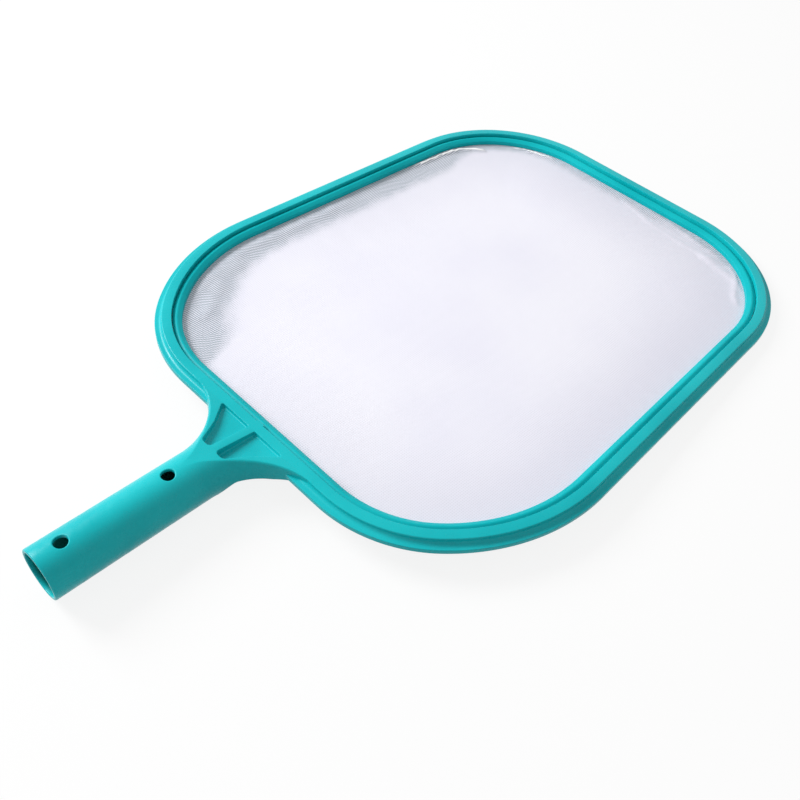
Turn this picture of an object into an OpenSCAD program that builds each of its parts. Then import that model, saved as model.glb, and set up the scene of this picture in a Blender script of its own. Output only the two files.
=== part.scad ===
// Leaf skimmer net: a moulded hoop with a socketed handle, a net laid in the hoop's channel,
// and a retaining ring pressed over the net's edge.
// The origin is the centre of the handle's mouth. +X runs along the handle's axis to the far
// edge of the hoop, and +Z is the side that the leaves lie on.

/* [Hoop] */
// Overall width of the hoop
hoop_w = 300; // [270:1:400]
// Length of the hoop, from its near lip to its far lip
hoop_l = 368; // [300:1:480]
// Corner radius beside the straight near edge
near_r = 84; // [60:1:95]
// Radius of the shoulder between the near corner and the side
shoulder_r = 120; // [90:1:150]
// Angle of turn in that shoulder, in degrees
shoulder_turn = 46; // [35:1:60]
// Angle that each side leans in towards the far edge, in degrees
side_taper = 2.2; // [0:0.1:4]
// Corner radius at the far edge
far_r = 90; // [60:1:105]

/* [Rim section] */
// Height of the thin outer lip
lip_h = 3.0; // [2:0.1:4]
// Distance from the outer lip to the wall that rises to the band
lip_w = 4.2; // [3:0.1:6]
// Radius of the cove between the lip and that wall
cove_r = 2.2; // [1:0.1:2.4]
// Height of the band above the hoop's underside
band_h = 6.5; // [5.4:0.1:9]
// Width of the band's flat top with its two edges
band_w = 5.8; // [4:0.1:8]
// Rounding of the band's outer top edge
band_round = 0.6; // [0.3:0.1:0.8]

/* [Net and ring] */
// Thickness of the net
net_t = 0.3; // [0.2:0.05:0.5]
// How far the net hangs below its edge, in the middle
net_sag = 3.0; // [0:0.5:6]
// Height of the loose ripples in the net
net_ripple = 0.8; // [0:0.1:1.5]
// Height to which the net's edge is folded up, between the ring and the hoop
net_fold_h = 2.6; // [1.5:0.1:2.8]
// Width of the retaining ring
ring_w = 5.5; // [4.5:0.1:8]
// Height of the ring's crest above the hoop's underside
ring_h = 5.0; // [4.6:0.1:5.2]
// Height of the ring's inner top edge above the hoop's underside
ring_edge_h = 3.2; // [2.4:0.1:4]
// Length of the tab that holds the ring down at the neck
tab_l = 5.2; // [3:0.1:8]
// How far that tab stands out from the band
tab_d = 0.8; // [0.5:0.1:1.2]

/* [Handle] */
// Outer diameter of the handle
handle_d = 28; // [26:0.5:34]
// Wall thickness of the handle
handle_wall = 2; // [1.6:0.1:3]
// Distance from the handle's mouth to the hoop's near lip
handle_l = 119; // [110:1:200]
// Length of the flared neck, from the hoop's near lip to the round handle
neck_l = 32; // [27:1:45]
// Height of the hoop's underside above the handle's axis
hoop_lift = 2.5; // [0:0.1:5]
// Diameter of the holes for the pole's spring buttons
button_d = 7; // [5:0.1:9]
// Distance from the mouth to the first pair of button holes
button_x = 14; // [8:0.5:20]
// Distance between the two pairs of button holes
button_pitch = 58; // [40:1:62]

/* [Neck] */
// Width of the rib between the two pockets
rib_w = 5; // [3:0.1:8]
// Depth of the pockets at the band
pocket_d_hoop = 2.4; // [1.5:0.1:5]
// Depth of the pockets at the handle end
pocket_d_handle = 4.2; // [1.5:0.1:5.4]
// Width of each pocket at the band
pocket_w_hoop = 22.5; // [12:0.5:24]
// Width of each pocket at the handle end
pocket_w_handle = 6; // [5.5:0.1:8]
// Depth of the neck below the hoop's underside
keel_d = 3.8; // [0:0.1:6]
// Length of each pocket
pocket_l = 25; // [14:0.5:26]
// How far the outer wall of each pocket bends in from a straight line
pocket_bend = 1.6; // [0.5:0.1:2.5]

/* [Hidden] */

$fn = 96;
teal = [0.13, 0.68, 0.72];
ring_teal = [0.10, 0.62, 0.67];
net_white = [0.93, 0.92, 0.97];

// Clearance between the tab and the ring below it
tab_gap = 0.2;

// Small breaks on the section's corners
lip_bevel = 0.4;
foot_chamfer = 0.3;
edge_break = 0.2;
ring_round = 0.5;
round_steps = 3;

// The ring's crest, inward from its outer side, and the drop from it to the outer shoulder
crest_in = 2.5;
shoulder_drop = 1.4;

// Flat margin of the net beyond the ring's inner side
net_flat_w = 2;

// Distances inward from the outer lip. The net's folded edge fills the gap round the ring.
band_in = lip_w + band_w;
ring_out = band_in + net_t;
ring_crest = ring_out + crest_in;
ring_in = ring_out + ring_w;
ring_shoulder_h = ring_h - shoulder_drop;
net_margin = ring_in + net_flat_w;

// The outline: half of the near edge, corner, shoulder, side, far corner, half of the far edge
corner_turn = 90 + side_taper - shoulder_turn;
shoulder_head = shoulder_turn - side_taper;
near_half = hoop_w / 2 - near_r * sin(corner_turn) - shoulder_r * (1 - cos(shoulder_head));
side_l = (hoop_l - near_r * (1 - cos(corner_turn))
    - shoulder_r * (sin(shoulder_head) + sin(side_taper))
    - far_r * (1 - sin(side_taper))) / cos(side_taper);
corner_start = [0, near_half];
shoulder_start = corner_start + near_r * [1 - cos(corner_turn), sin(corner_turn)];
side_start = shoulder_start + shoulder_r
    * [sin(shoulder_head) + sin(side_taper), cos(side_taper) - cos(shoulder_head)];
far_start = side_start + side_l * [cos(side_taper), -sin(side_taper)];
far_half = far_start[1] - far_r * cos(side_taper);

corner_centre = corner_start + [near_r, 0];
shoulder_centre = side_start - shoulder_r * [sin(side_taper), cos(side_taper)];
far_centre = far_start - far_r * [sin(side_taper), cos(side_taper)];

// Handle and neck. The flare ends just inside the band's outer wall. The bore stops just
// before the flare, clear of the neck's sloping underside and of the pockets.
handle_r = handle_d / 2;
bore_r = handle_r - handle_wall;
neck_start = handle_l - neck_l;
flare_sink = 0.3;
flare_reach = 1.2;
flare_r = neck_l + lip_w + flare_sink;
flare_end = handle_l + lip_w + flare_reach;
flare_steps = 12;
bore_back = 1.5;
bore_stop = 3;
pocket_x = handle_l + lip_w + edge_break;
pocket_end = pocket_x - pocket_l;
bore_l = min(neck_start - bore_back, pocket_end - bore_stop);
web_low = hoop_lift + band_h;
web_lead = 0.5;
web_start = neck_start - web_lead;
web_slope = (handle_r - web_low) / (pocket_x - web_start);
mouth_round = 0.8;
mouth_bevel = 0.6;
over = 1;

// Where the neck's underside bends, back from the hoop's near lip, and how far it drops
keel_front = 3;
keel_back = 0.6 * neck_l;
ramp_back = 0.75 * neck_l;
ramp_drop = 3.2;
cut_lead = 4;
cut_below = 1.5;

// Corner radii of a pocket's plan, from the rib at the band round to the rib at the handle.
// The middle one rounds the bend in the outer wall.
pocket_corners = [0.8, 0.8, 36, 2.6, 2.2];

// Corners of an outline, each rounded by its own radius
function unit(v) = v / norm(v);
function corner_arc(a, p, b, r) =
    let (u = unit(a - p), w = unit(b - p), half = acos(u * w) / 2)
    let (c = p + unit(u + w) * r / sin(half), t0 = p + u * r / tan(half), t1 = p + w * r / tan(half))
    let (a0 = atan2(t0[1] - c[1], t0[0] - c[0]), a1 = atan2(t1[1] - c[1], t1[0] - c[0]))
    let (turn = a1 - a0 > 180 ? a1 - a0 - 360 : a1 - a0 < -180 ? a1 - a0 + 360 : a1 - a0)
    [for (i = [0:round_steps]) c + r * [cos(a0 + turn * i / round_steps), sin(a0 + turn * i / round_steps)]];
function rounded(pts, radii) = [
    for (i = [0:len(pts) - 1])
        let (a = pts[(i + len(pts) - 1) % len(pts)], b = pts[(i + 1) % len(pts)])
        each radii[i] > 0 ? corner_arc(a, pts[i], b, radii[i]) : [pts[i]]
];

// Section points are [distance inward from the outer lip, height above the hoop's underside]
frame_section = rounded([
    [foot_chamfer, 0],
    [0, foot_chamfer],
    [0, lip_h - lip_bevel],
    [lip_bevel, lip_h],
    [lip_w, lip_h],
    [lip_w, band_h],
    [band_in - edge_break, band_h],
    [band_in, band_h - edge_break],
    [band_in, 0]
], [0, 0, 0, 0, cove_r, band_round, 0, 0, 0]);

ring_section = rounded([
    [ring_out, net_t],
    [ring_out, ring_shoulder_h],
    [ring_crest, ring_h],
    [ring_in, ring_edge_h],
    [ring_in, net_t]
], [0, ring_round, ring_round, ring_round, 0]);

// Stations round the outline: [point on the outer lip, outward direction]. The first lies in
// the middle of the near edge, and they run clockwise as seen from above.
function arc_stations(centre, radius, from, to, steps) = [
    for (i = [1:steps])
        let (a = from + (to - from) * i / steps)
        [centre + radius * [cos(a), sin(a)], [cos(a), sin(a)]]
];
function line_stations(start, end, out, steps) = [
    for (i = [1:steps])
        [start + (end - start) * i / steps, out]
];
end_steps = 2;
corner_steps = 8;
side_steps = 3;
far_steps = 14;
half_stations = concat(
    line_stations([0, 0], corner_start, [-1, 0], end_steps),
    arc_stations(corner_centre, near_r, 180, 180 - corner_turn, corner_steps),
    arc_stations(shoulder_centre, shoulder_r, 180 - corner_turn, 90 - side_taper, corner_steps),
    line_stations(side_start, far_start, [sin(side_taper), cos(side_taper)], side_steps),
    arc_stations(far_centre, far_r, 90 - side_taper, 0, far_steps),
    line_stations([hoop_l, far_half], [hoop_l, 0], [1, 0], end_steps)
);
half_count = len(half_stations);
stations = concat(
    half_stations,
    [for (i = [half_count - 2:-1:0]) [for (v = half_stations[i]) [v[0], -v[1]]]],
    [[[0, 0], [-1, 0]]]
);
station_count = len(stations);

// One closed ring of points for a point of a section
function hoop_ring(p) = [
    for (st = stations)
        let (q = st[0] - p[0] * st[1])
        [handle_l + q[0], q[1], hoop_lift + p[1]]
];

// Triangles between each ring of points and the next one
function ring_faces(rings, closed) = [
    for (r = [0:rings - (closed ? 1 : 2)], i = [0:station_count - 1])
        let (j = (i + 1) % station_count, a = r * station_count, b = ((r + 1) % rings) * station_count)
        each [[a + i, b + j, b + i], [a + i, a + j, b + j]]
];

// A section carried all round the hoop's outline
module round_hoop(section) {
    polyhedron(points = [for (p = section) each hoop_ring(p)], faces = ring_faces(len(section), true));
}

// A shape of revolution about the handle's axis: points are [distance along X, radius]
module turned(pts) {
    rotate([90, 0, 90])
        rotate_extrude()
            polygon([for (p = pts) [p[1], p[0]]]);
}

// Round handle, and the flare that leads from it to the band's outer wall along one arc
module handle_and_flare() {
    turned([
        [0, 0],
        [0, handle_r - mouth_round],
        for (i = [1:round_steps])
            let (a = 90 * i / round_steps)
            [mouth_round * (1 - cos(a)), handle_r - mouth_round * (1 - sin(a))],
        for (i = [0:flare_steps])
            let (a = 90 * i / flare_steps)
            [neck_start + flare_r * sin(a), handle_r + flare_r * (1 - cos(a))],
        [flare_end, handle_r + flare_r],
        [flare_end, 0]
    ]);
}

module handle_bore() {
    turned([
        [-over, 0],
        [-over, bore_r + mouth_bevel],
        [0, bore_r + mouth_bevel],
        [mouth_bevel, bore_r],
        [bore_l, bore_r],
        [bore_l, 0]
    ]);
}

// Height of the neck's sloping top at a distance along X
function web_top(x) = web_low + web_slope * (pocket_x - x);

// A side view, seen along Y, as a block wider than the neck
module side_block(pts) {
    rotate([90, 0, 0])
        linear_extrude(2 * (handle_r + flare_r + over), center = true)
            polygon(pts);
}

// What is cut off the flare above the neck's flat top
module above_neck() {
    side_block([
        [flare_end + over, web_low],
        [pocket_x, web_low],
        [neck_start - cut_lead, web_top(neck_start - cut_lead)],
        [neck_start - cut_lead, 2 * flare_r],
        [flare_end + over, 2 * flare_r]
    ]);
}

// What is cut off the flare below the neck
module below_neck() {
    side_block([
        [flare_end + over, hoop_lift],
        [handle_l + lip_w, hoop_lift],
        [handle_l - keel_front, hoop_lift - keel_d],
        [handle_l - keel_back, hoop_lift - keel_d],
        [handle_l - ramp_back, hoop_lift - keel_d - ramp_drop],
        [neck_start - cut_lead / 2, -handle_r - cut_below],
        [neck_start - cut_lead / 2, -2 * flare_r],
        [flare_end + over, -2 * flare_r]
    ]);
}

// One pocket's plan, to the +Y side of the rib
pocket_plan = rounded([
    [pocket_x, rib_w / 2],
    [pocket_x, rib_w / 2 + pocket_w_hoop],
    [(pocket_x + pocket_end) / 2, rib_w / 2 + (pocket_w_hoop + pocket_w_handle) / 2 - pocket_bend],
    [pocket_end, rib_w / 2 + pocket_w_handle],
    [pocket_end, rib_w / 2]
], pocket_corners);

// The pocket's floor slopes less than the neck's top, so it is deeper at the handle end
module pocket() {
    intersection() {
        linear_extrude(handle_d)
            polygon(pocket_plan);
        side_block([
            [pocket_x + over, web_low - pocket_d_hoop],
            [pocket_x, web_low - pocket_d_hoop],
            [pocket_end, web_top(pocket_end) - pocket_d_handle],
            [pocket_end - over, web_top(pocket_end) - pocket_d_handle],
            [pocket_end - over, handle_d],
            [pocket_x + over, handle_d]
        ]);
    }
}

module button_hole(x) {
    translate([x, 0, 0])
        cylinder(h = handle_d + 2 * over, d = button_d, center = true);
}

// The tab stands out from the band's inner wall, over the ring's sloping shoulder
module ring_tab() {
    low = ring_shoulder_h + shoulder_drop * (tab_d - net_t) / crest_in + tab_gap;
    translate([handle_l + band_in - over, -tab_l / 2, hoop_lift + low])
        cube([over + tab_d, tab_l, band_h - low]);
}

module frame() {
    color(teal)
        difference() {
            union() {
                round_hoop(frame_section);
                ring_tab();
                difference() {
                    handle_and_flare();
                    above_neck();
                    below_neck();
                }
            }
            handle_bore();
            button_hole(button_x);
            button_hole(button_x + button_pitch);
            for (flip = [0, 1])
                mirror([0, flip, 0])
                    pocket();
        }
}

module retaining_ring() {
    color(ring_teal)
        round_hoop(ring_section);
}

// The net: rings of points up the fold, along the flat margin under the ring, and in over the
// loose middle to its centre, on the upper face and then back along the lower one.
net_shares = [0.93, 0.78, 0.58, 0.34];
ripple_along = 2.4;
ripple_across = 1.9;
net_edge_rings = 6;
net_centre = [handle_l + hoop_l / 2, 0, hoop_lift];
net_rim = hoop_ring([net_margin, 0]);
function net_loose(share, lift) = [
    for (p = net_rim)
        let (q = net_centre + share * (p - net_centre))
        q + [0, 0, lift + net_dip(q, share)]
];
function net_dip(q, share) =
    (1 - share * share) * (net_ripple * sin(ripple_along * q[0]) * cos(ripple_across * q[1]) - net_sag);
net_points = concat(
    [net_centre + [0, 0, net_dip(net_centre, 0)]],
    [for (i = [len(net_shares) - 1:-1:0]) each net_loose(net_shares[i], 0)],
    net_rim,
    hoop_ring([band_in, 0]),
    hoop_ring([band_in, net_fold_h]),
    hoop_ring([ring_out, net_fold_h]),
    hoop_ring([ring_out, net_t]),
    hoop_ring([net_margin, net_t]),
    [for (share = net_shares) each net_loose(share, net_t)],
    [net_centre + [0, 0, net_t + net_dip(net_centre, 0)]]
);
net_rings = 2 * len(net_shares) + net_edge_rings;
net_last = net_rings * station_count + 1;
net_faces = concat(
    [for (f = ring_faces(net_rings, false)) [for (v = f) v + 1]],
    [for (i = [0:station_count - 1])
        let (j = (i + 1) % station_count)
        each [[0, 1 + j, 1 + i], [net_last, net_last - station_count + i, net_last - station_count + j]]]
);

module net() {
    color(net_white)
        polyhedron(points = net_points, faces = net_faces);
}

frame();
retaining_ring();
net();
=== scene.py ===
import math

import bmesh
import bpy
import numpy as np
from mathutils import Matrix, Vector


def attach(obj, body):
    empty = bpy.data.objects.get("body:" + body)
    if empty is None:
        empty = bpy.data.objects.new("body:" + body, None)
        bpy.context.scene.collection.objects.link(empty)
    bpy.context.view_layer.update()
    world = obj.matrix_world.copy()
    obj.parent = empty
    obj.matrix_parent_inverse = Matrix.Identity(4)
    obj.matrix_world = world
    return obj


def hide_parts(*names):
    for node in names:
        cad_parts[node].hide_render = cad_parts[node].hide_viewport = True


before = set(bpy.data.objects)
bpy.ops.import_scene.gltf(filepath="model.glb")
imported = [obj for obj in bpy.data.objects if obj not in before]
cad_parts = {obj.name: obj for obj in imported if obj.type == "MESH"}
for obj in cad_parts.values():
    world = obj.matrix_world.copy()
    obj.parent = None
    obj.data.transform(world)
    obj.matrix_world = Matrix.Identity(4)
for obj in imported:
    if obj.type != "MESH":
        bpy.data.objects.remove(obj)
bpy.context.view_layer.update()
print("frame loaded:", ", ".join(sorted(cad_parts)))

mm = 0.001  # the pieces' sizes are in millimetres, the materials' in metres


# camera

camera = dict(
    place=(-0.05443, -0.24847, 0.36299),
    turn=(42.896, -4.288, -44.644),
    lens=39.738,
    shift=(0.00745, -0.00434),
    clipStart=0.01,
)
lensData = bpy.data.cameras.new("camera")
lensData.lens = camera["lens"]
lensData.shift_x, lensData.shift_y = camera["shift"]
lensData.clip_start = camera["clipStart"]
cameraObject = bpy.data.objects.new("camera", lensData)
cameraObject.location = camera["place"]
cameraObject.rotation_euler = [math.radians(a) for a in camera["turn"]]
bpy.context.scene.collection.objects.link(cameraObject)
bpy.context.scene.camera = cameraObject
bpy.context.scene.view_settings.view_transform = "Standard"
print("camera set")


# node trees

def setAll(target, values):
    for name, value in values.items():
        setattr(target, name, value)


class Wire:
    # a node's output, so that sums on values read as plain arithmetic
    def __init__(self, maker, socket):
        self.maker = maker
        self.socket = socket

    def maths(self, operation, *values):
        return self.maker.node("ShaderNodeMath", dict(operation=operation), dict(enumerate(values)))

    def __add__(self, other):
        return self.maths("ADD", self, other)

    def __radd__(self, other):
        return self.maths("ADD", other, self)

    def __sub__(self, other):
        return self.maths("SUBTRACT", self, other)

    def __rsub__(self, other):
        return self.maths("SUBTRACT", other, self)

    def __mul__(self, other):
        return self.maths("MULTIPLY", self, other)

    def __rmul__(self, other):
        return self.maths("MULTIPLY", other, self)

    def __abs__(self):
        return self.maths("ABSOLUTE", self)

    def fraction(self):
        return self.maths("FRACT", self)

    def larger(self, other):
        return self.maths("MAXIMUM", self, other)

    def step(self, low, high, toLow=0.0, toHigh=1.0):
        settings = dict(interpolation_type="SMOOTHSTEP")
        values = {0: self, 1: low, 2: high, 3: toLow, 4: toHigh}
        return self.maker.node("ShaderNodeMapRange", settings, values)


class NodeMaker:
    def __init__(self, tree):
        self.tree = tree

    def put(self, socket, value):
        if isinstance(value, Wire):
            self.tree.links.new(value.socket, socket)
        elif value is not None:
            socket.default_value = value

    def node(self, kind, settings=None, values=None, out=0):
        made = self.tree.nodes.new(kind)
        setAll(made, settings or {})
        for name, value in (values or {}).items():
            self.put(made.inputs[name], value)
        return Wire(self, made.outputs[out]) if made.outputs else made

    def mixColour(self, factor, first, second):
        # 6, 7 and 2 are the sockets that a Mix node uses for colours
        settings = dict(data_type="RGBA")
        return self.node("ShaderNodeMix", settings, {0: factor, 6: first, 7: second}, out=2)

    def noise(self, place, scale, detail=2.0, roughness=0.5):
        values = {"Vector": place, "Scale": scale, "Detail": detail, "Roughness": roughness}
        return self.node("ShaderNodeTexNoise", {}, values)

    def bump(self, height, distance, strength=1.0, normal=None):
        values = {"Height": height, "Distance": distance, "Strength": strength, "Normal": normal}
        return self.node("ShaderNodeBump", {}, values)


def newMaterial(name):
    material = bpy.data.materials.new(name)
    material.use_nodes = True
    material.node_tree.nodes.clear()
    return material, NodeMaker(material.node_tree)


def linear(red, green, blue):
    # a display colour, 0 to 255 a channel, as the linear value that a socket takes
    shown = [c / 255 for c in (red, green, blue)]
    return [*(c / 12.92 if c <= 0.04045 else ((c + 0.055) / 1.055) ** 2.4 for c in shown), 1]


# plastics

framePlasticLook = dict(
    # the bore colour is painted shade, darker inside the handle between boreWall, boreMouth and boreBack
    light=(22, 192, 198), deep=(6, 180, 187), bore=(1, 126, 121), roughness=(0.24, 0.36), specular=0.2,
    cloudScale=22.0, skinScale=240.0, skinDepth=0.000015, grainScale=2600.0, grainDepth=0.000008,
    scuffScale=(60.0, 900.0, 900.0), scuffRoughness=0.06,
    boreWall=(0.01205, 0.0124), boreMouth=(0.0008, 0.0028), boreBack=(0.0856, 0.0865),
)
ringPlasticLook = dict(
    framePlasticLook, light=(16, 187, 193), deep=(3, 175, 182), roughness=(0.36, 0.48), specular=0.1,
)


def mouldedPlastic(name, look):
    # glossy polypropylene: faint flow clouds, a skin that is not quite even, and painted shade inside the handle
    material, make = newMaterial(name)
    place = make.node("ShaderNodeTexCoord", out="Object")
    cloud = make.noise(place, look["cloudScale"], 3.0).step(0.3, 0.7)
    skin = make.noise(place, look["skinScale"], 4.0, 0.6).step(0.35, 0.65)
    grain = make.noise(place, look["grainScale"], 1.0)
    stretched = make.node("ShaderNodeMapping", {}, {"Vector": place, "Scale": look["scuffScale"]})
    scuffs = make.noise(stretched, 1.0, 2.0, 0.7).step(0.62, 0.74)
    colour = make.mixColour(cloud, linear(*look["deep"]), linear(*look["light"]))
    # painted shade: darker inside the handle, from just behind the mouth to the bore's end
    along = make.node("ShaderNodeSeparateXYZ", {}, {0: place})
    across = make.node("ShaderNodeVectorMath", dict(operation="MULTIPLY"), {0: place, 1: (0, 1, 1)})
    fromAxis = make.node("ShaderNodeVectorMath", dict(operation="LENGTH"), {0: across}, out="Value")
    boreShade = fromAxis.step(*look["boreWall"], 1.0, 0.0) * along.step(*look["boreBack"], 1.0, 0.0)
    boreShade = boreShade * along.step(*look["boreMouth"])
    colour = make.mixColour(boreShade, colour, linear(*look["bore"]))
    low, high = look["roughness"]
    roughness = low + (high - low) * skin + scuffs * look["scuffRoughness"]
    ripple = make.bump(skin, look["skinDepth"])
    normal = make.bump(grain, look["grainDepth"], normal=ripple)
    values = {
        "Base Color": colour, "Roughness": roughness, "Normal": normal,
        "Specular IOR Level": look["specular"],
    }
    surface = make.node("ShaderNodeBsdfPrincipled", {}, values)
    make.node("ShaderNodeOutputMaterial", {}, {"Surface": surface})
    return material


framePlastic = mouldedPlastic("framePlastic", framePlasticLook)
ringPlastic = mouldedPlastic("ringPlastic", ringPlasticLook)
print("plastics ready")


# hoop outline

hoop = dict(
    nearLip=119.0, underside=2.5, width=300.0, length=368.0, sideTaper=2.2,
    nearRadius=84.0, shoulderRadius=120.0, shoulderTurn=46.0, farRadius=90.0,
    cornerSteps=96, outlineSteps=432, sectionSteps=6, stationSteps=200,
)


def heading(degrees):
    a = math.radians(degrees)
    return np.array([math.cos(a), math.sin(a)])


def outlineCorners():
    # the corners and radii of the lip's outline, clockwise as seen from above
    taper, turn = hoop["sideTaper"], hoop["shoulderTurn"]
    near, shoulder, far = hoop["nearRadius"], hoop["shoulderRadius"], hoop["farRadius"]
    nearTurn, head = 90 + taper - turn, turn - taper
    cosTaper, sinTaper = heading(taper)
    cosHead, sinHead = heading(head)
    cosNear, sinNear = heading(nearTurn)
    nearHalf = hoop["width"] / 2 - near * sinNear - shoulder * (1 - cosHead)
    shoulderStart = np.array([near * (1 - cosNear), nearHalf + near * sinNear])
    sideStart = shoulderStart + shoulder * np.array([sinHead + sinTaper, cosTaper - cosHead])
    sideLength = (hoop["length"] - sideStart[0] - far * (1 - sinTaper)) / cosTaper
    farStart = sideStart + sideLength * heading(-taper)
    half = [
        np.array([0, nearHalf + near * math.tan(math.radians(nearTurn / 2))]),
        shoulderStart + shoulder * math.tan(math.radians(turn / 2)) * heading(head),
        farStart + far * math.tan(math.radians((90 - taper) / 2)) * heading(-taper),
    ]
    both = half + [np.array([p[0], -p[1]]) for p in reversed(half)]
    shift = np.array([hoop["nearLip"], 0])
    return [p + shift for p in both], [near, shoulder, far, far, shoulder, near]


def filletLoop(corners, radii, steps):
    # points and outward normals of a loop of rounded corners, the loop clockwise
    points, normals = [], []
    for i, corner in enumerate(corners):
        before = corners[i - 1] - corner
        after = corners[(i + 1) % len(corners)] - corner
        before, after = before / np.linalg.norm(before), after / np.linalg.norm(after)
        bulge = -1 if before[0] * after[1] < before[1] * after[0] else 1  # -1 where the loop bends inward
        half = math.acos(np.clip(before @ after, -1, 1)) / 2
        middle = before + after
        centre = corner + middle / np.linalg.norm(middle) * radii[i] / math.sin(half)
        first = corner + before * radii[i] / math.tan(half) - centre
        start, turn = math.atan2(first[1], first[0]), math.pi - 2 * half
        for step in range(steps + 1):
            a = start - bulge * turn * step / steps
            normal = np.array([math.cos(a), math.sin(a)])
            points.append(centre + radii[i] * normal)
            normals.append(bulge * normal)
    return np.array(points), np.array(normals)


# shells and sweeps

def linked(name, data):
    made = bpy.data.objects.new(name, data)
    bpy.context.scene.collection.objects.link(made)
    return made


def cornerLoop(name, corners, radii):
    # a loop of edges whose corners a node tree rounds
    data = bpy.data.meshes.new(name)
    count = len(corners)
    points = [(p[0] * mm, p[1] * mm, 0) for p in corners]
    data.from_pydata(points, [(i, (i + 1) % count) for i in range(count)], [])
    radius = data.attributes.new("cornerRadius", "FLOAT", "POINT")
    radius.data.foreach_set("value", [r * mm for r in radii])
    return linked(name, data)


def sweepTree():
    # carries a rounded section round a rounded outline
    tree = bpy.data.node_groups.new("sectionSweep", "GeometryNodeTree")
    for name, kind in (
        ("Outline", "NodeSocketGeometry"), ("Section", "NodeSocketObject"),
        ("Corner steps", "NodeSocketInt"), ("Outline steps", "NodeSocketInt"),
        ("Section steps", "NodeSocketInt"), ("Height", "NodeSocketFloat"), ("Material", "NodeSocketMaterial"),
    ):
        tree.interface.new_socket(name=name, in_out="INPUT", socket_type=kind)
    tree.interface.new_socket(name="Sweep", in_out="OUTPUT", socket_type="NodeSocketGeometry")
    make = NodeMaker(tree)

    def given(name):
        return make.node("NodeGroupInput", out=name)

    def roundedCurve(mesh, steps):
        curve = make.node("GeometryNodeMeshToCurve", {}, {"Mesh": mesh})
        settings = dict(data_type="FLOAT")
        radius = make.node("GeometryNodeInputNamedAttribute", settings, {"Name": "cornerRadius"})
        values = {"Curve": curve, "Count": steps, "Radius": radius, "Limit Radius": False}
        return make.node("GeometryNodeFilletCurve", dict(mode="POLY"), values)

    path = roundedCurve(given("Outline"), given("Corner steps"))
    values = {"Curve": path, "Count": given("Outline steps")}
    path = make.node("GeometryNodeResampleCurve", dict(mode="COUNT"), values)
    path = make.node("GeometryNodeSetCurveNormal", dict(mode="Z_UP"), {"Curve": path})
    section = make.node("GeometryNodeObjectInfo", {}, {"Object": given("Section")}, out="Geometry")
    profile = roundedCurve(section, given("Section steps"))
    swept = make.node("GeometryNodeCurveToMesh", {}, {"Curve": path, "Profile Curve": profile})
    lift = make.node("ShaderNodeCombineXYZ", {}, {"Z": given("Height")})
    swept = make.node("GeometryNodeSetPosition", {}, {"Geometry": swept, "Offset": lift})
    swept = make.node("GeometryNodeRealizeInstances", {}, {"Geometry": swept})
    swept = make.node("GeometryNodeSetMaterial", {}, {"Geometry": swept, "Material": given("Material")})
    make.node("NodeGroupOutput", {}, {"Sweep": swept})
    return tree


sectionSweep = sweepTree()


def setInputs(modifier, tree, values):
    for item in tree.interface.items_tree:
        if item.item_type == "SOCKET" and item.in_out == "INPUT" and item.name in values:
            modifier[item.identifier] = values[item.name]


def evaluatedMesh(source, name):
    bpy.context.view_layer.update()
    depsgraph = bpy.context.evaluated_depsgraph_get()
    data = bpy.data.meshes.new_from_object(source.evaluated_get(depsgraph), depsgraph=depsgraph)
    data.name = name
    return data


def faceOutward(data, weld=2e-6):
    # merges doubles, and turns the faces so that the closed shell holds a positive volume
    work = bmesh.new()
    work.from_mesh(data)
    bmesh.ops.remove_doubles(work, verts=work.verts, dist=weld)
    bmesh.ops.recalc_face_normals(work, faces=work.faces)
    if work.calc_volume(signed=True) < 0:
        bmesh.ops.reverse_faces(work, faces=work.faces)
    work.to_mesh(data)
    work.free()


def sweptRim(name, section, radii, material):
    # section points are (distance inward from the lip, height above the hoop's underside)
    path = cornerLoop(name + "Path", *outlineCorners())
    corners = [np.array((inward, -height)) for inward, height in section]
    profile = cornerLoop(name + "Section", corners, radii)
    modifier = path.modifiers.new("sweep", "NODES")
    modifier.node_group = sectionSweep
    setInputs(modifier, sectionSweep, {
        "Section": profile, "Corner steps": hoop["cornerSteps"], "Outline steps": hoop["outlineSteps"],
        "Section steps": hoop["sectionSteps"], "Height": hoop["underside"] * mm, "Material": material,
    })
    data = evaluatedMesh(path, name)
    for helper in (path, profile):
        bpy.data.objects.remove(helper)
    faceOutward(data)
    return linked(name, data)


def loft(name, rings, material=None):
    # a closed shell through rings that each have the same number of points
    data = bpy.data.meshes.new(name)
    size = len(rings[0])
    points = [tuple(np.array(p) * mm) for ring in rings for p in ring]
    faces = []
    for r in range(len(rings) - 1):
        for i in range(size):
            j = (i + 1) % size
            faces.append((r * size + i, r * size + j, (r + 1) * size + j, (r + 1) * size + i))
    faces.append(tuple(range(size))[::-1])
    faces.append(tuple(range((len(rings) - 1) * size, len(rings) * size)))
    data.from_pydata(points, [], faces)
    faceOutward(data)
    if material:
        data.materials.append(material)
    return linked(name, data)


def combine(target, tools, operation):
    for tool in tools:
        modifier = target.modifiers.new(operation.lower(), "BOOLEAN")
        setAll(modifier, dict(object=tool, operation=operation, solver="MANIFOLD"))
    data = evaluatedMesh(target, target.name)
    target.modifiers.clear()
    target.data = data
    for tool in tools:
        bpy.data.objects.remove(tool)


def smoothShade(target, sharpAbove=38):
    target.data.shade_smooth()
    target.data.set_sharp_from_angle(angle=math.radians(sharpAbove))


def quarterTurn(steps=6):
    return [math.pi / 2 * k / steps for k in range(steps + 1)]


def arc(y, z, radius, start, end, steps, first=0):
    turns = [start + (end - start) * k / steps for k in range(first, steps + 1)]
    return [(y + radius * math.cos(a), z + radius * math.sin(a)) for a in turns]


# frame: rim, neck and handle in one moulding

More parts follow.
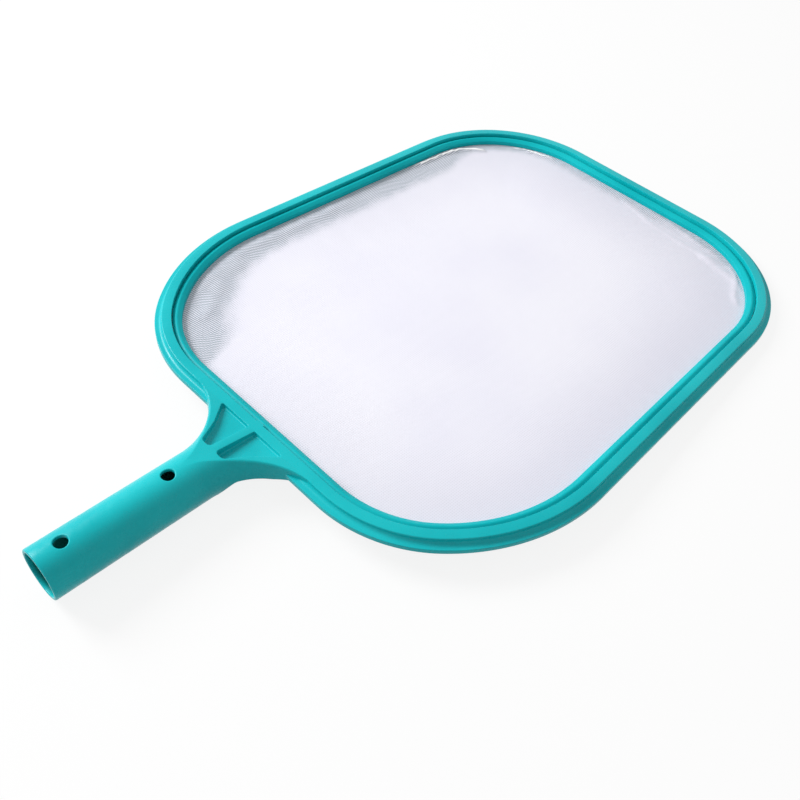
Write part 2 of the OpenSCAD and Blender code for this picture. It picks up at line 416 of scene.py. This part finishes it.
rim = dict(
    lipHeight=3.0, lipWidth=4.2, bandHeight=6.5, bandWidth=5.8,
    lipRound=0.4, cove=2.2, bandRound=0.6, innerRound=0.25, footRound=0.3, heelRound=0.1,
)
bandIn = rim["lipWidth"] + rim["bandWidth"]
rimSection = [
    (0, 0), (0, rim["lipHeight"]), (rim["lipWidth"], rim["lipHeight"]),
    (rim["lipWidth"], rim["bandHeight"]), (bandIn, rim["bandHeight"]), (bandIn, 0),
]
rimRadii = [rim[k] for k in ("footRound", "lipRound", "cove", "bandRound", "innerRound", "heelRound")]
frameMoulding = sweptRim("frameMoulding", rimSection, rimRadii, framePlastic)
print("rim swept:", len(frameMoulding.data.polygons), "faces")

handle = dict(
    radius=14.0, mouthRound=0.8, ringSpacing=2.0, toolReach=1.0,
    boreRadius=12.0, boreRound=0.6, boreEnd=85.5, boreEndRound=2.0, boreSpacing=6.0, boreSteps=128,
    holes=(14.0, 72.0), holeRadius=3.5, holeEdge=0.7, holeSteps=72,
)
neck = dict(
    start=87.0, flare=36.5, flareSteps=60, end=124.6, footIn=0.2,
    proud=0.012, sunk=0.01,  # these two keep its faces off the rim's
    topSlope=5.0 / 36.9, topSoftness=8.0, topFillet=2.4,
    underKnots=((70, -15), (84, -14.6), (95.5, -4.2), (99.8, -1.3), (115.5, -1.3), (123.2, 2.5), (130, 2.51)),
    underWindow=1.6, underSamples=9, underFillet=1.2,
    filletSteps=16, roundSteps=80, halfPoints=60,
)
bandTop = hoop["underside"] + rim["bandHeight"]
neckFoot = hoop["nearLip"] + rim["lipWidth"] + neck["footIn"]


def neckTop(x):
    # height of the neck's flat top: level on the band, then one soft ramp up to the tube
    ramp, soft = neck["topSlope"], neck["topSoftness"]
    knee = neckFoot - (handle["radius"] - bandTop) / ramp
    if x >= neckFoot:
        return bandTop + neck["proud"]
    if x <= knee - soft:
        return math.inf  # the tube is still round
    if x < knee + soft:
        return handle["radius"] - ramp / (4 * soft) * (x - knee + soft) ** 2
    return bandTop + neck["proud"] + ramp * (neckFoot - x)


def neckUnder(x):
    # height of the neck's flat underside, averaged over a short window to soften its bends
    places, heights = zip(*neck["underKnots"])
    window = np.linspace(-neck["underWindow"], neck["underWindow"], neck["underSamples"])
    return float(np.mean(np.interp(x + window, places, heights)))


def neckHalf(radius, top, under):
    # half a section of the neck, from the middle of its top round to the middle of its underside
    steps, topFillet, underFillet = neck["filletSteps"], neck["topFillet"], neck["underFillet"]
    high, head = math.pi / 2, [(0, radius)]
    low, tail = -math.pi / 2, []
    if top < radius:
        z = top - topFillet
        y = math.sqrt(max((radius - topFillet) ** 2 - z * z, 0))
        high = math.atan2(z, y)
        head = [(y * k / steps, top) for k in range(steps)]
        head += arc(y, z, topFillet, math.pi / 2, high, steps)
    if under > -radius:
        z = under + underFillet
        y = math.sqrt(max((radius - underFillet) ** 2 - z * z, 0))
        low = math.atan2(z, y)
        tail = arc(y, z, underFillet, low, -math.pi / 2, steps, 1)
        tail += [(y * (1 - k / steps), under) for k in range(1, steps + 1)]
    return np.array(head + arc(0, 0, radius, high, low, neck["roundSteps"], 1) + tail)


def spreadPoints(points, count, spacing=4.0, turning=0.12, closest=1e-6):
    # the same line with its points closer together where it bends
    lengths = np.linalg.norm(np.diff(points, axis=0), axis=1)
    points = points[np.concatenate([[True], lengths > closest])]
    steps = np.diff(points, axis=0)
    lengths = np.linalg.norm(steps, axis=1)
    angles = np.unwrap(np.arctan2(steps[:, 1], steps[:, 0]))
    bends = np.abs(np.diff(angles, prepend=angles[0])) / 2
    bends[:-1] += bends[1:]
    weight = np.concatenate([[0], np.cumsum(lengths / spacing + bends / turning)])
    at = np.linspace(0, weight[-1], count)
    return np.column_stack([np.interp(at, weight, points[:, k]) for k in (0, 1)])


def neckRing(x, radius, top=math.inf, under=-math.inf):
    right = spreadPoints(neckHalf(radius, top, under), neck["halfPoints"])
    left = right[-2:0:-1] * (-1, 1)
    return [(x, y, z) for y, z in np.vstack([right, left])]


def neckAndHandle():
    tube, curl, spacing = handle["radius"], handle["mouthRound"], handle["ringSpacing"]
    start, flare, end = neck["start"], neck["flare"], neck["end"]
    rings = []
    for a in quarterTurn():
        rings.append(neckRing(curl * (1 - math.cos(a)), tube - curl * (1 - math.sin(a))))
    for x in np.arange(2 * spacing, start - spacing / 4, spacing):
        rings.append(neckRing(x, tube, neckTop(x), neckUnder(x)))
    for a in quarterTurn(neck["flareSteps"]):
        x = start + flare * math.sin(a)
        rings.append(neckRing(x, tube + flare * (1 - math.cos(a)), neckTop(x), neckUnder(x)))
    rings.append(neckRing(end, tube + flare, neckTop(end), hoop["underside"] + neck["sunk"]))
    return loft("neckAndHandle", rings, framePlastic)


def circle(x, radius):
    turns = np.linspace(0, 2 * math.pi, handle["boreSteps"], endpoint=False)
    return [(x, radius * math.cos(a), radius * math.sin(a)) for a in turns]


def boreTool():
    # the handle's bore, its edge rounded at the mouth and its corner at the end
    bore, curl, endRound = handle["boreRadius"], handle["boreRound"], handle["boreEndRound"]
    endStart, spacing = handle["boreEnd"] - endRound, handle["boreSpacing"]
    rings = [circle(-handle["toolReach"], bore + curl)]
    for a in quarterTurn():
        rings.append(circle(curl * (1 - math.cos(a)), bore + curl * (1 - math.sin(a))))
    rings += [circle(x, bore) for x in np.arange(spacing, endStart, spacing)]
    for a in quarterTurn():
        rings.append(circle(endStart + endRound * math.sin(a), bore - endRound * (1 - math.cos(a))))
    return loft("boreTool", rings)


def holeTool(x):
    # a round hole through both walls, its outer edges rounded
    radius, edge, tube = handle["holeRadius"], handle["holeEdge"], handle["radius"]
    turns = np.linspace(0, 2 * math.pi, handle["holeSteps"], endpoint=False)
    sides = []
    for a, lift in [(0, handle["toolReach"])] + [(a, 0) for a in quarterTurn()]:
        wide, depth = radius + edge * (1 - math.sin(a)), edge * (1 - math.cos(a))
        ring = []
        for t in turns:
            y = wide * math.sin(t)
            ring.append((x + wide * math.cos(t), y, math.sqrt(tube ** 2 - y ** 2) - depth + lift))
        sides.append(ring)
    under = [[(p[0], p[1], -p[2]) for p in ring] for ring in reversed(sides)]
    return loft("holeTool", sides + under)


pocket = dict(
    length=25.0, rib=5.0, wideAtHoop=22.5, wideAtHandle=6.0, bend=1.6,
    deepAtHoop=2.4, deepAtHandle=4.2, edge=0.4, floorFillet=0.85,
    corners=(0.9, 0.9, 36, 2.8, 2.3), cornerSteps=8, edgeSteps=5, toolReach=2.0,
)


def pocketTool(side):
    # a three-sided recess with one bent side, whose floor slopes less than the neck's ramp
    inner, outer = neckFoot, neckFoot - pocket["length"]
    near = pocket["rib"] / 2
    wideAtHoop, wideAtHandle = near + pocket["wideAtHoop"], near + pocket["wideAtHandle"]
    plan = [
        (inner, near), (inner, wideAtHoop),
        ((inner + outer) / 2, (wideAtHoop + wideAtHandle) / 2 - pocket["bend"]),
        (outer, wideAtHandle), (outer, near),
    ]
    corners = [np.array(p) for p in reversed(plan)]
    points, normals = filletLoop(corners, pocket["corners"][::-1], pocket["cornerSteps"])
    edge, fillet = pocket["edge"], pocket["floorFillet"]
    ends = (outer, inner)
    floorEnds = (neckTop(outer) - pocket["deepAtHandle"], neckTop(inner) - pocket["deepAtHoop"])
    quarter = quarterTurn(pocket["edgeSteps"])
    edgeRings = [(edge, -pocket["toolReach"])]
    edgeRings += [(edge * (1 - math.sin(a)), edge * (1 - math.cos(a))) for a in quarter]
    floorRings = [(fillet * (math.cos(a) - 1), fillet * (1 - math.sin(a))) for a in quarter]
    rings = []
    for grow, depth in edgeRings:
        rings.append([(x, side * y, neckTop(x) - depth) for x, y in points + normals * grow])
    for grow, rise in floorRings:
        moved = points + normals * grow
        rings.append([(x, side * y, np.interp(x, ends, floorEnds) + rise) for x, y in moved])
    return loft("pocketTool", rings)


tab = dict(length=5.2, reach=0.8, root=0.5, low=4.08, high=6.47, round=0.25, roundSteps=6, edge=0.15)


def ringTab():
    # a small tab on the band's inner wall that holds the ring down beside the neck
    wall, half = hoop["nearLip"] + bandIn, tab["length"] / 2
    root, end = wall - tab["root"], wall + tab["reach"]
    plan = [np.array(p) for p in ((root, -half), (root, half), (end, half), (end, -half))]
    points, normals = filletLoop(plan, [tab["round"]] * 4, tab["roundSteps"])
    levels = [(0, tab["low"]), (0, tab["high"] - tab["edge"]), (-tab["edge"], tab["high"])]
    rings = [[(x, y, hoop["underside"] + z) for x, y in points + normals * grow] for grow, z in levels]
    return loft("ringTab", rings, framePlastic)


combine(frameMoulding, [neckAndHandle(), ringTab()], "UNION")
tools = [boreTool(), *(holeTool(x) for x in handle["holes"]), pocketTool(1), pocketTool(-1)]
combine(frameMoulding, tools, "DIFFERENCE")
smoothShade(frameMoulding)
print("frame moulded:", len(frameMoulding.data.polygons), "faces")


# ring that holds the net

ring = dict(
    gap=0.3, width=5.5, crestIn=2.5, shoulder=3.6, crest=5.0, inner=3.2, base=0.3,
    rounds=(0.1, 0.4, 1.6, 0.45, 0.1),
)
ringOut = bandIn + ring["gap"]
ringIn = ringOut + ring["width"]
ringSection = [
    (ringOut, ring["base"]), (ringOut, ring["shoulder"]), (ringOut + ring["crestIn"], ring["crest"]),
    (ringIn, ring["inner"]), (ringIn, ring["base"]),
]
netRing = sweptRim("netRing", ringSection, ring["rounds"], ringPlastic)
smoothShade(netRing)
print("ring swept:", len(netRing.data.polygons), "faces")


# net

net = dict(
    thickness=0.25, seat=0.15, tuck=0.9, heldIn=3.0, foldHeight=2.6, foldBend=0.5, foldEdge=0.2,
    cellsLong=104, cellsWide=84, crowding=0.4, corners=(133.0, 44.0, -44.0, -133.0),
    broadWave=1.3, smallWave=0.5, slack=0.0004, frames=24, floorGap=0.45,
)
netLevel = hoop["underside"] + net["seat"]
netReach = ringIn - net["tuck"]  # the line under the ring where it lets go of the net

weave = dict(
    pitch=1.3, threadWidth=0.46, threadSoft=0.25, threadDrift=0.5, biasPitch=0.62, biasDrift=3.0,
    wanderScale=35.0, cloudScale=62.0, slantScale=42.0, frayScale=700.0, shadeScale=9.0,
    looseShare=0.75, hole=0.10, openHole=0.30, bumpDepth=0.00008, bumpStrength=0.5,
    # the pale grey is painted shade towards the ring, the grey-blue a painted shadow seen through the open weave
    milky=((240, 239, 251), (247, 246, 255)), shaded=(222, 221, 234), holeShadow=(140, 160, 172),
    # the crest colour is a painted highlight along the fold crests
    crest=(255, 255, 255), roughness=0.55, sheen=0.15,
)


def wovenNet(name):
    # fine white mesh: milky where the threads lie close, more open beside the ring, where a painted shadow shows
    # grey-blue through its holes and the net carries painted shade
    material, make = newMaterial(name)
    cut = make.node("ShaderNodeUVMap", dict(uv_map="weave"))
    across, along = (make.node("ShaderNodeSeparateXYZ", {}, {0: cut}, out=axis) for axis in ("X", "Y"))
    place = make.node("ShaderNodeTexCoord", out="Object")
    wander = make.noise(place, weave["wanderScale"], 2.0)
    width, soft = weave["threadWidth"], weave["threadSoft"]

    def thread(line, drift):
        fromMiddle = abs((line + wander * drift).fraction() - 0.5) * 2
        return fromMiddle.step(width - soft, width + soft, 1.0, 0.0)

    def carried(name):
        return make.node("ShaderNodeAttribute", dict(attribute_name=name), out="Fac")

    warp, weft = (thread(line, weave["threadDrift"]) for line in (across, along))
    bias = thread((across + along) * weave["biasPitch"], weave["biasDrift"])
    cloud = make.noise(place, weave["cloudScale"], 4.0, 0.65)
    # how open the weave is; the same mask sets how much painted shadow shows through the holes
    openedAndShaded = (carried("openWeave") * (0.45 + 1.1 * cloud)).step(0.14, 0.62)
    slanted = make.noise(place, weave["slantScale"], 1.0).step(0.42, 0.58)
    loose = weave["looseShare"] * openedAndShaded
    cloth = warp.larger(weft) * (1 - loose) + loose * (bias * slanted + weft * (1 - slanted))
    cover = 1 - (weave["hole"] + weave["openHole"] * openedAndShaded) * (1 - cloth)
    frayed = make.noise(place, weave["frayScale"], 3.0, 0.7)
    # painted highlight along the fold crests, which are also drawn more opaque
    crease = (carried("crease") * (0.55 + 0.9 * frayed)).step(0.3, 0.62)
    shade = make.noise(place, weave["shadeScale"], 3.0).step(0.3, 0.7)
    milky = make.mixColour(shade, *(linear(*colour) for colour in weave["milky"]))
    milky = make.mixColour(carried("edgeShade"), milky, linear(*weave["shaded"]))
    # painted shadow: grey-blue in the holes where the weave opens
    holeShadow = make.mixColour(openedAndShaded, milky, linear(*weave["holeShadow"]))
    threads = make.mixColour(cloth, holeShadow, milky)
    relief = (warp + weft) * (0.35 + 0.65 * openedAndShaded)
    values = {
        "Base Color": make.mixColour(crease, threads, linear(*weave["crest"])),
        "Roughness": weave["roughness"], "Alpha": cover.larger(crease),
        "Normal": make.bump(relief, weave["bumpDepth"], weave["bumpStrength"]),
        "Sheen Weight": weave["sheen"],
    }
    surface = make.node("ShaderNodeBsdfPrincipled", {}, values)
    make.node("ShaderNodeOutputMaterial", {}, {"Surface": surface})
    return material


def hoopStations():
    # how far round the lip each point lies, the points, and their outward normals
    points, normals = filletLoop(*outlineCorners(), hoop["stationSteps"])
    points, normals = np.vstack([points, points[:1]]), np.vstack([normals, normals[:1]])
    travelled = np.concatenate([[0], np.cumsum(np.linalg.norm(np.diff(points, axis=0), axis=1))])
    return travelled, points, normals


travelled, lipPoints, lipNormals = hoopStations()
lipLength = travelled[-1]


def stationAt(where):
    where = np.mod(where, lipLength)
    point = np.column_stack([np.interp(where, travelled, lipPoints[:, k]) for k in (0, 1)])
    normal = np.column_stack([np.interp(where, travelled, lipNormals[:, k]) for k in (0, 1)])
    return point, normal / np.linalg.norm(normal, axis=1)[:, None]


def spacedCells(cells):
    # cells crowd towards the ring, where the folds are
    t = np.linspace(0, 1, cells + 1)
    return t - net["crowding"] * np.sin(2 * math.pi * t) / (2 * math.pi)


def netSide(start, end, cells):
    if end < start:
        end += lipLength
    where = start + (end - start) * spacedCells(cells)
    lip, outward = stationAt(where)
    return where, lip - netReach * outward


def netGrid():
    # a grid of nearly square cells, its border on the line where the ring lets go of the net
    turn = np.degrees(np.arctan2(lipNormals[:, 1], lipNormals[:, 0]))
    marks = [travelled[int(np.argmin(np.abs(turn - corner)))] for corner in net["corners"]]
    long, wide = net["cellsLong"], net["cellsWide"]
    leftWhere, left = netSide(marks[0], marks[1], long)
    farWhere, far = netSide(marks[1], marks[2], wide)
    rightWhere, right = netSide(marks[2], marks[3], long)
    nearWhere, near = netSide(marks[3], marks[0], wide)
    right, far = right[::-1], far[::-1]
    # u runs from the near edge to the far one, v from the right side to the left one
    u = spacedCells(long)[:, None, None]
    v = spacedCells(wide)[None, :, None]
    grid = (1 - v) * right[:, None] + v * left[:, None] + (1 - u) * near[None] + u * far[None]
    grid -= (1 - u) * (1 - v) * near[0] + (1 - u) * v * near[-1] + u * (1 - v) * far[0] + u * v * far[-1]
    border = [(i, wide, w) for i, w in enumerate(leftWhere)]
    border += [(long, wide - j, w) for j, w in enumerate(farWhere)][1:]
    border += [(long - i, 0, w) for i, w in enumerate(rightWhere)][1:]
    border += [(0, j, w) for j, w in enumerate(nearWhere)][1:-1]
    return grid, border


def foldPath():
    # from under the ring to the band, and up between the two: distance in from the lip, and rise
    bend, bendIn = net["foldBend"], bandIn + ring["gap"] / 2
    path = [(ringIn - net["heldIn"], 0.0), (bendIn + bend, 0.0)]
    for a in np.linspace(0.4, math.pi / 2, 4):
        path.append((bendIn + bend * (1 - math.sin(a)), bend * (1 - math.cos(a))))
    return path + [(bendIn, net["foldHeight"] - net["foldEdge"])]


def buildNet():
    # points, their places on the flat cut, faces, how many points the grid has, and those of its border
    grid, border = netGrid()
    long, wide = net["cellsLong"], net["cellsWide"]
    points = [(x, y, netLevel) for x, y in grid.reshape(-1, 2)]
    flat = [tuple(p) for p in grid.reshape(-1, 2)]

    def number(i, j):
        return i * (wide + 1) + j

    faces = [(number(i, j), number(i + 1, j), number(i + 1, j + 1), number(i, j + 1))
             for i in range(long) for j in range(wide)]
    gridSize = len(points)
    loops = [[number(i, j) for i, j, w in border]]
    lip, outward = stationAt(np.array([w for i, j, w in border]))
    gone, last = 0.0, (netReach, 0.0)
    for inset, rise in foldPath():
        gone += math.hypot(last[0] - inset, rise - last[1])
        last = (inset, rise)
        spots = lip - inset * outward
        loops.append(list(range(len(points), len(points) + len(spots))))
        points += [(x, y, netLevel + rise) for x, y in spots]
        flat += [tuple(p) for p in lip - (netReach - gone) * outward]
    for inner, outer in zip(loops, loops[1:]):
        for k in range(len(inner)):
            n = (k + 1) % len(inner)
            faces.append((inner[k], inner[n], outer[n], outer[k]))
    return points, flat, faces, gridSize, set(loops[0])


def rippled(points, gridSize):
    # broad waves that the slack leaves across the middle
    middle = hoop["nearLip"] + hoop["length"] / 2
    halfLong, halfWide = hoop["length"] / 2 - ringIn, hoop["width"] / 2 - ringIn
    moved = []
    for k, (x, y, z) in enumerate(points):
        if k < gridSize:
            u, v = (x - middle) / halfLong, y / halfWide
            inside = max(0.0, 1 - abs(u) ** 4) * max(0.0, 1 - abs(v) ** 4)
            broad = math.sin(3.1 * u + 1.2 * v + 0.4) * math.cos(2.3 * v - 0.8 * u + 1.0)
            small = math.sin(7.0 * v + 2.0 * u) * math.cos(4.0 * u - 1.0)
            z += inside * (net["broadWave"] * broad + net["smallWave"] * small)
        moved.append((x, y, z))
    return moved


# loose folds beside the ring: a point of the lip, then steps along the outline from it and in from the
# ring, and how wide and high the fold is, and how strong the painted highlight on its crest is
looseFolds = [
    dict(at=(415, 142), steps=[(-44, 0.2), (-22, 2.4), (0, 3.2), (15, 3.6), (28, 5.6), (38, 9.0)],
         wide=1.7, high=1.6, crestHighlight=1.25),
    dict(at=(487, 0), steps=[(-58, 3.0), (-42, 9.0), (-22, 13.5), (5, 15.5), (28, 12.5), (46, 8.0)],
         wide=3.6, high=0.7, crestHighlight=0.0),
    dict(at=(487, 0), steps=[(-34, 1.8), (-12, 3.2), (8, 6.2), (22, 5.0), (36, 1.2)],
         wide=2.2, high=0.6, crestHighlight=0.3),
    dict(at=(487, 0), steps=[(26, 14.0), (40, 11.5), (56, 8.0), (70, 4.0), (84, 0.8)],
         wide=3.4, high=0.7, crestHighlight=0.2),
    dict(at=(487, 0), steps=[(48, 2.0), (62, 1.8), (78, 5.0), (92, 6.5), (104, 3.0)],
         wide=2.2, high=0.6, crestHighlight=0.3),
    dict(at=(470, 85), steps=[(-26, 2.0), (-10, 1.4), (6, 2.6), (22, 1.6)],
         wide=1.4, high=0.9, crestHighlight=0.9),
    dict(at=(300, 148), steps=[(-80, 5.0), (-40, 8.0), (0, 5.0), (45, 9.0), (80, 6.0)],
         wide=4.0, high=0.8, crestHighlight=0.0),
    dict(at=(170, 132), steps=[(-45, 10.0), (-15, 15.0), (15, 12.0), (45, 16.0)],
         wide=5.0, high=0.8, crestHighlight=0.0),
]
foldForm = dict(
    rise=1.5, endFade=9, crestWidth=0.9, wander=0.5, wanderLengths=(2.6, 7.1),
    swell=0.15, swellLength=4.7, swellStart=1.3,
    pleat=0.14, pleatReach=8, pleatLength=8.5, pleatLean=0.12,
)


def besideRing(spots, spacing=1.5, parts=40):
    # for each spot: distance in from the ring, place along the outline, and the outline's direction there
    where = np.arange(0, lipLength, spacing)
    lip, outward = stationAt(where)
    nearest = np.concatenate([
        np.argmin(((part[:, None] - lip[None]) ** 2).sum(axis=2), axis=1)
        for part in np.array_split(spots, parts)
    ])
    inward = ((lip[nearest] - spots) * outward[nearest]).sum(axis=1) - ringIn
    return inward, where[nearest], np.degrees(np.arctan2(outward[nearest, 1], outward[nearest, 0]))


def foldHeights(inward, along):
    # how high the folds stand, and how strong the painted highlight on their crests is
    height, crestHighlight = np.zeros(len(inward)), np.zeros(len(inward))
    shortWander, longWander = foldForm["wanderLengths"]
    pleats = foldForm["pleat"] * np.exp(-inward / foldForm["pleatReach"])
    for fold in looseFolds:
        start = travelled[int(np.argmin(((lipPoints - np.array(fold["at"])) ** 2).sum(axis=1)))]
        apart = np.mod(along - start + lipLength / 2, lipLength) - lipLength / 2
        steps, away = np.array(fold["steps"]).T
        line = np.polyval(np.polyfit(steps, away, 3), apart)
        line += foldForm["wander"] * np.sin(apart / shortWander) * np.sin(apart / longWander)
        starts, ends = (np.clip(gap / foldForm["endFade"], 0, 1) for gap in (apart - steps[0], steps[-1] - apart))
        swell = foldForm["swell"] * np.sin(apart / foldForm["swellLength"] + foldForm["swellStart"])
        size = np.sin(starts * ends * math.pi / 2) * (1 - foldForm["swell"] + swell)
        waves = np.sin(apart * 2 * math.pi / foldForm["pleatLength"] + foldForm["pleatLean"] * inward)
        height += fold["high"] * size * (np.exp(-((inward - line) / fold["wide"]) ** 2) + pleats * waves)
        crestHighlight += fold["crestHighlight"] * size * np.exp(-((inward - line) / foldForm["crestWidth"]) ** 2)
    rise = 1 - np.exp(-np.clip(inward, 0, None) ** 2 / foldForm["rise"])
    return height * rise, np.clip(crestHighlight, 0, 1)


# by the outline's direction: 90 is the left side, 0 the far edge, -90 the right side
# how open the weave is, and how much painted shadow shows through it there
openingAndShadow = dict(
    directions=(-180, -150, -90, -45, -20, 0, 33, 66, 88, 109, 126, 159, 172, 180),
    shares=(0.3, 0.1, 0.15, 0.35, 0.6, 0.52, 0.58, 0.85, 1, 1, 1, 1, 0.8, 0.3),
    widths=(9, 6, 5, 7, 9, 11, 8, 9, 18, 22, 27, 28, 18, 9),
)
# how much painted shade greys the net towards the ring
greyness = dict(
    directions=(-180, -120, -60, 0, 45, 90, 180),
    shares=(0.45, 0.8, 0.95, 0.75, 0.6, 0.45, 0.45),
    width=42,
)


def fading(inward, width):
    return np.exp(-(np.clip(inward, 0, None) / width) ** 2)


def openWeave(inward, facing):
    # the weave is more open on the left side and round its corners than elsewhere, and shows more painted shadow
    # through its holes there
    share = np.interp(facing, openingAndShadow["directions"], openingAndShadow["shares"])
    return share * fading(inward, np.interp(facing, openingAndShadow["directions"], openingAndShadow["widths"]))


def edgeShade(inward, facing):
    # the net looks a little greyer towards the ring, most on the right side and at the far edge
    return np.interp(facing, greyness["directions"], greyness["shares"]) * fading(inward, greyness["width"])


def floorHeight(x):
    # the plane that the handle's underside and the hoop's far edge rest on
    farX, farZ = hoop["nearLip"] + hoop["length"], hoop["underside"]
    nearX, nearZ = neck["start"], -handle["radius"]
    return nearZ + (farZ - nearZ) * (x - nearX) / (farX - nearX)


def settle(sheet, heldPoints):
    # the net sinks a little under its own weight, its border held
    held = sheet.vertex_groups.new(name="held")
    held.add(heldPoints, 1.0, "REPLACE")
    cloth = sheet.modifiers.new("cloth", "CLOTH")
    setAll(cloth.settings, dict(
        quality=5, mass=0.01, tension_stiffness=15, compression_stiffness=15, shear_stiffness=5,
        bending_stiffness=0.02, air_damping=4, vertex_group_mass="held", shrink_min=-net["slack"],
    ))
    cloth.settings.effector_weights.gravity = 0.2
    setAll(cloth.collision_settings, dict(use_self_collision=False, use_collision=False))
    setAll(cloth.point_cache, dict(frame_start=1, frame_end=net["frames"] + 2))
    for step in range(1, net["frames"] + 1):
        bpy.context.scene.frame_set(step)
    settled = evaluatedMesh(sheet, "netSheet")
    sheet.modifiers.clear()
    sheet.vertex_groups.clear()
    sheet.data = settled
    bpy.context.scene.frame_set(1)


def modified(target, kind, **settings):
    modifier = target.modifiers.new(kind.lower(), kind)
    setAll(modifier, settings)
    target.data = evaluatedMesh(target, target.name)
    target.modifiers.clear()


def makeNet():
    points, flat, faces, gridSize, border = buildNet()
    data = bpy.data.meshes.new("netSheet")
    data.from_pydata([tuple(c * mm for c in p) for p in rippled(points, gridSize)], [], faces)
    data.materials.append(wovenNet("netWeave"))
    layer = data.uv_layers.new(name="weave")
    for loop in data.loops:
        x, y = flat[loop.vertex_index]
        layer.data[loop.index].uv = (x / weave["pitch"], y / weave["pitch"])
    sheet = linked("netSheet", data)
    settle(sheet, [v for v in range(len(points)) if v >= gridSize or v in border])
    modified(sheet, "SUBSURF", levels=1, render_levels=1, uv_smooth="NONE", boundary_smooth="PRESERVE_CORNERS")
    spots = np.array([v.co for v in sheet.data.vertices]) / mm
    inward, along, facing = besideRing(spots[:, :2])
    folds, crestHighlight = foldHeights(inward, along)
    spots[:, 2] += folds
    lowest = floorHeight(spots[:, 0]) + net["floorGap"]
    spots[:, 2] = np.where(inward > 0, np.maximum(spots[:, 2], lowest), spots[:, 2])
    sheet.data.vertices.foreach_set("co", (spots * mm).ravel())
    # the weave's openness with its painted shadow, the painted shade towards the ring, and the painted highlight
    # on fold crests
    carried = dict(openWeave=openWeave(inward, facing), edgeShade=edgeShade(inward, facing), crease=crestHighlight)
    for name, values in carried.items():
        sheet.data.attributes.new(name, "FLOAT", "POINT").data.foreach_set("value", values)
    modified(sheet, "SOLIDIFY", thickness=net["thickness"] * mm, offset=0.0)
    sheet.data.shade_smooth()
    return sheet


netSheet = makeNet()
heights = [v.co.z / mm for v in netSheet.data.vertices]
lowest, highest = round(min(heights), 2), round(max(heights), 2)
print("net laid:", len(netSheet.data.polygons), "faces, from", lowest, "to", highest, "mm")


# what rides on what

for piece, node, slotName in (
    (frameMoulding, "frame", "frame_plastic"),
    (netRing, "retaining_ring", "ring_plastic"),
    (netSheet, "net", "net_mesh"),
):
    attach(piece, "root")
    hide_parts(node)


# floor and light

stage = dict(
    size=6.0, floorGap=0.2, floorBounce=0.55, floorSeen=0.92, floorGlow=0.86, skyStrength=0.44,
    keySize=0.7, keyPower=28.5, keyPlace=(-0.52, 1.22, 0.92), keyTarget=(0.25, 0, 0),
)


def seenWhite(make):
    # 1 for a ray from the camera, and for one that a glossy or clear surface sends on
    rays = ("Is Camera Ray", "Is Glossy Ray", "Is Transmission Ray")
    seen, mirrored, through = (make.node("ShaderNodeLightPath", out=ray) for ray in rays)
    return seen.larger(mirrored).larger(through)


def stageFloor():
    # a plane just under the handle's underside and the hoop's far edge
    data = bpy.data.meshes.new("floor")
    half = stage["size"] / 2
    corners = [(-half, -half), (half, -half), (half, half), (-half, half)]
    points = [(x, y, (floorHeight(x / mm) - stage["floorGap"]) * mm) for x, y in corners]
    data.from_pydata(points, [], [(0, 1, 2, 3)])
    material, make = newMaterial("floorWhite")
    looked = seenWhite(make)
    bounce, bright = ((shade, shade, shade, 1) for shade in (stage["floorBounce"], stage["floorSeen"]))
    matte = make.node("ShaderNodeBsdfDiffuse", {}, {"Color": make.mixColour(looked, bounce, bright)})
    glow = make.node("ShaderNodeEmission", {}, {"Color": (1, 1, 1, 1), "Strength": 1.0})
    share = looked * stage["floorGlow"]
    surface = make.node("ShaderNodeMixShader", {}, {0: share, 1: matte, 2: glow})
    make.node("ShaderNodeOutputMaterial", {}, {"Surface": surface})
    data.materials.append(material)
    floor = linked("floor", data)


def stageLight():
    # an even white sky, dimmer as a light than as a background, and one softbox
    world = bpy.data.worlds.new("studio")
    world.use_nodes = True
    world.node_tree.nodes.clear()
    make = NodeMaker(world.node_tree)
    strength = stage["skyStrength"] + (1 - stage["skyStrength"]) * seenWhite(make)
    sky = make.node("ShaderNodeBackground", {}, {"Color": (1, 1, 1, 1), "Strength": strength})
    make.node("ShaderNodeOutputWorld", {}, {"Surface": sky})
    bpy.context.scene.world = world
    data = bpy.data.lights.new("softbox", "AREA")
    size, power = stage["keySize"], stage["keyPower"]
    setAll(data, dict(shape="RECTANGLE", size=size, size_y=size, energy=power))
    softbox = linked("softbox", data)
    target = Vector(stage["keyTarget"])
    softbox.location = target + Vector(stage["keyPlace"])
    softbox.rotation_euler = (target - softbox.location).to_track_quat("-Z", "Y").to_euler()


stageFloor()
stageLight()
print("stage lit")
